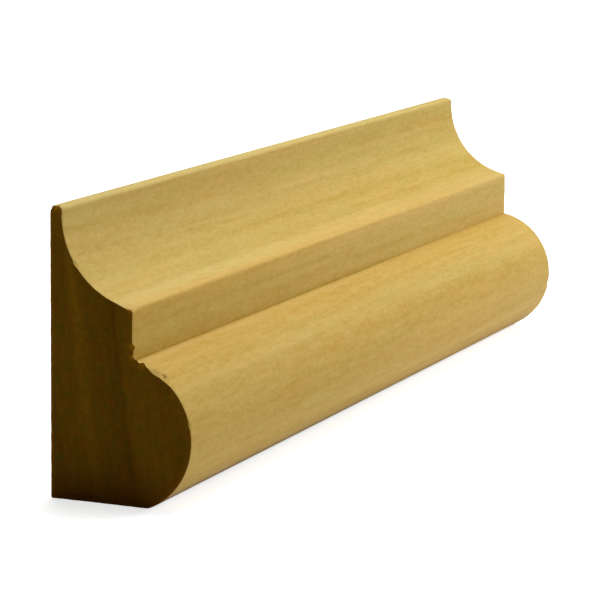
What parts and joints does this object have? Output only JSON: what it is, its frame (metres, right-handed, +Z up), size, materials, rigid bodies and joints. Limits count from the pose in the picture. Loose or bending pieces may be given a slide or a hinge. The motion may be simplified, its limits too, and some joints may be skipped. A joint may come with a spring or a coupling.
{
  "type": "base cap moulding",
  "caption": "Short straight length of wooden base cap moulding with a cove, a square fillet and a large bead on its face, and a flat back and bottom.",
  "frame": {"origin": "middle of the bounding box at floor level, under the length's centre", "axes": "+X along the grain and the length, +Y out of the flat back towards the wall, +Z up towards the thin top edge; the moulded face looks towards -Y"},
  "size_m": [0.1396, 0.019, 0.0365],
  "materials": {
    "poplar": "matte"
  },
  "bodies": {
    "root": {"base_cap_moulding": "poplar"}
  },
  "joints": []
}
